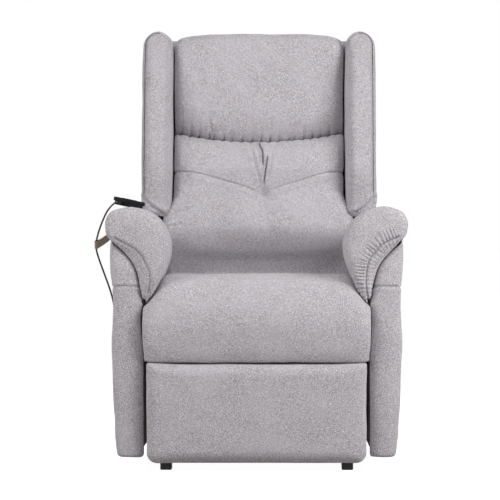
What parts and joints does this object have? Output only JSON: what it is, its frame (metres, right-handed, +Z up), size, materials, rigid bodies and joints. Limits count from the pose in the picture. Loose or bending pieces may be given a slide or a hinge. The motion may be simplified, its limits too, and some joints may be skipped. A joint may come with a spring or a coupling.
{
  "type": "lift recliner chair",
  "caption": "Upholstered power lift recliner with winged, tufted back, padded arms, swing-out footrest, corded handset and a lifting steel base.",
  "frame": {"origin": "centre of the bounding box's base, on the floor under the middle of the chair", "axes": "+Z up; the chair faces -Y; +X is to the right of a viewer who stands in front of it"},
  "size_m": [0.7714, 0.8701, 1.1127],
  "materials": {
    "frame_steel": "satin",
    "link_steel": "satin",
    "bright_steel": "satin",
    "spring_steel": "satin",
    "foot_plastic": "matte",
    "clip_plastic": "matte",
    "wood": "matte",
    "upholstery": "matte",
    "black_plastic": "satin",
    "button_plastic": "matte",
    "cord_rubber": "matte",
    "webbing": "matte"
  },
  "bodies": {
    "base": {"base_side_rails": "frame_steel", "base_cross_tubes": "frame_steel", "base_feet": "foot_plastic", "base_pivot_brackets": "frame_steel", "lift_motor_clevis": "frame_steel"},
    "lift_links_rear": {"lift_torque_tube": "frame_steel", "rear_lift_links": "frame_steel"},
    "lift_links_front": {"front_lift_links": "frame_steel"},
    "chassis": {"side_plates": "frame_steel", "chassis_pins": "bright_steel", "chassis_cross_tubes": "frame_steel", "recline_motor_hanger": "frame_steel", "seat_side_rails": "wood", "seat_cross_rails": "wood", "seat_springs": "spring_steel", "spring_clips": "clip_plastic", "seat_cushion": "upholstery", "arm_board_left": "wood", "arm_board_right": "wood", "arm_panel_left": "upholstery", "arm_panel_right": "upholstery", "arm_pad_left": "upholstery", "arm_pad_right": "upholstery", "arm_bolts": "bright_steel", "control_box": "black_plastic", "rear_valance": "upholstery", "handset_upper_shell": "black_plastic", "handset_lower_shell": "black_plastic", "handset_strain_relief": "cord_rubber", "handset_cord": "cord_rubber", "cord_strap": "webbing", "cord_grommet": "cord_rubber"},
    "rocker_back": {"rocker_back": "button_plastic"},
    "rocker_legs": {"rocker_legs": "button_plastic"},
    "leg_drive": {"footrest_drive_shaft": "link_steel", "footrest_drive_links": "link_steel"},
    "leg_idle": {"footrest_rear_links": "link_steel"},
    "leg_long": {"footrest_long_links": "link_steel"},
    "leg_tilt": {"footrest_tilt_links": "link_steel"},
    "footrest": {"footrest_brackets": "link_steel", "footrest_board": "wood", "footrest_pad": "upholstery", "footrest_screws": "bright_steel"},
    "backrest": {"back_brackets": "link_steel", "back_stiles": "wood", "back_rails": "wood", "back_springs": "spring_steel", "wing_posts": "wood", "lumbar_cushion": "upholstery", "head_cushion": "upholstery", "wing_left": "upholstery", "wing_right": "upholstery", "back_cover": "upholstery", "recline_lever": "link_steel"},
    "lift_actuator": {"lift_motor": "black_plastic", "lift_tube": "bright_steel"},
    "lift_plunger": {"lift_rod": "bright_steel"},
    "recline_actuator": {"recline_motor": "black_plastic", "recline_tube": "bright_steel"},
    "recline_plunger": {"recline_rod": "bright_steel"}
  },
  "joints": [
    {"name": "lift", "type": "hinge", "parent": "base", "child": "lift_links_rear", "pos_m": [0, -0.199, 0.115], "axis": [1, 0, 0], "range_deg": [0, 56.5]},
    {"name": "lift_front_pivot", "type": "hinge", "parent": "base", "child": "lift_links_front", "pos_m": [0, -0.236, 0.093], "axis": [1, 0, 0], "range_deg": [0, 63.87]},
    {"name": "chassis_tilt", "type": "hinge", "parent": "lift_links_rear", "child": "chassis", "pos_m": [0, 0.193, 0.138], "axis": [1, 0, 0], "range_deg": [-27.65, 0]},
    {"name": "footrest", "type": "hinge", "parent": "chassis", "child": "leg_drive", "pos_m": [0, -0.286, 0.235], "axis": [-1, 0, 0], "range_deg": [0, 90]},
    {"name": "leg_rear_pivot", "type": "hinge", "parent": "chassis", "child": "leg_idle", "pos_m": [0, -0.209, 0.235], "axis": [-1, 0, 0], "range_deg": [0, 90]},
    {"name": "leg_long_pivot", "type": "hinge", "parent": "leg_drive", "child": "leg_long", "pos_m": [0, -0.239, 0.094], "axis": [1, 0, 0], "range_deg": [0, 90]},
    {"name": "leg_tilt_pivot", "type": "hinge", "parent": "leg_drive", "child": "leg_tilt", "pos_m": [0, -0.239, 0.046], "axis": [1, 0, 0], "range_deg": [0, 90]},
    {"name": "footrest_ankle", "type": "hinge", "parent": "leg_long", "child": "footrest", "pos_m": [0, -0.36, 0.223], "axis": [-1, 0, 0], "range_deg": [0, 90]},
    {"name": "recline", "type": "hinge", "parent": "chassis", "child": "backrest", "pos_m": [0, 0.165, 0.336], "axis": [-1, 0, 0], "range_deg": [0, 45]},
    {"name": "rocker_back_pivot", "type": "hinge", "parent": "chassis", "child": "rocker_back", "pos_m": [-0.32534, -0.21312, 0.66151], "axis": [0.9317, -0.309, -0.1912], "range_deg": [-5, 5], "stiffness_Nm_per_rad": 0.05},
    {"name": "rocker_legs_pivot", "type": "hinge", "parent": "chassis", "child": "rocker_legs", "pos_m": [-0.31505, -0.18078, 0.65939], "axis": [0.9317, -0.309, -0.1912], "range_deg": [-5, 5], "stiffness_Nm_per_rad": 0.05},
    {"name": "lift_actuator_foot", "type": "hinge", "parent": "base", "child": "lift_actuator", "pos_m": [0, 0.12, 0.056], "axis": [1, 0, 0], "range_deg": [0, 7.02]},
    {"name": "lift_actuator_eye", "type": "hinge", "parent": "lift_links_rear", "child": "lift_plunger", "pos_m": [0, -0.19, 0.191], "axis": [1, 0, 0], "range_deg": [-49.5, 0]},
    {"name": "recline_actuator_foot", "type": "hinge", "parent": "chassis", "child": "recline_actuator", "pos_m": [-0.09, -0.25, 0.171], "axis": [1, 0, 0], "range_deg": [0, 6.55]},
    {"name": "recline_actuator_eye", "type": "hinge", "parent": "backrest", "child": "recline_plunger", "pos_m": [-0.09, 0.148, 0.256], "axis": [1, 0, 0], "range_deg": [0, 51.55]}
  ],
  "couplings": [
    {"joint": "lift_front_pivot", "follows": "lift", "ratio": 1.1303},
    {"joint": "chassis_tilt", "follows": "lift", "ratio": -0.48926},
    {"joint": "leg_rear_pivot", "follows": "footrest", "ratio": 1},
    {"joint": "leg_long_pivot", "follows": "footrest", "ratio": 1},
    {"joint": "leg_tilt_pivot", "follows": "footrest", "ratio": 1},
    {"joint": "footrest_ankle", "follows": "footrest", "ratio": 1},
    {"joint": "lift_actuator_foot", "follows": "lift", "ratio": 0.12407},
    {"joint": "lift_actuator_eye", "follows": "lift", "ratio": -0.87593},
    {"joint": "recline_actuator_foot", "follows": "recline", "ratio": 0.14544},
    {"joint": "recline_actuator_eye", "follows": "recline", "ratio": 1.1454}
  ]
}
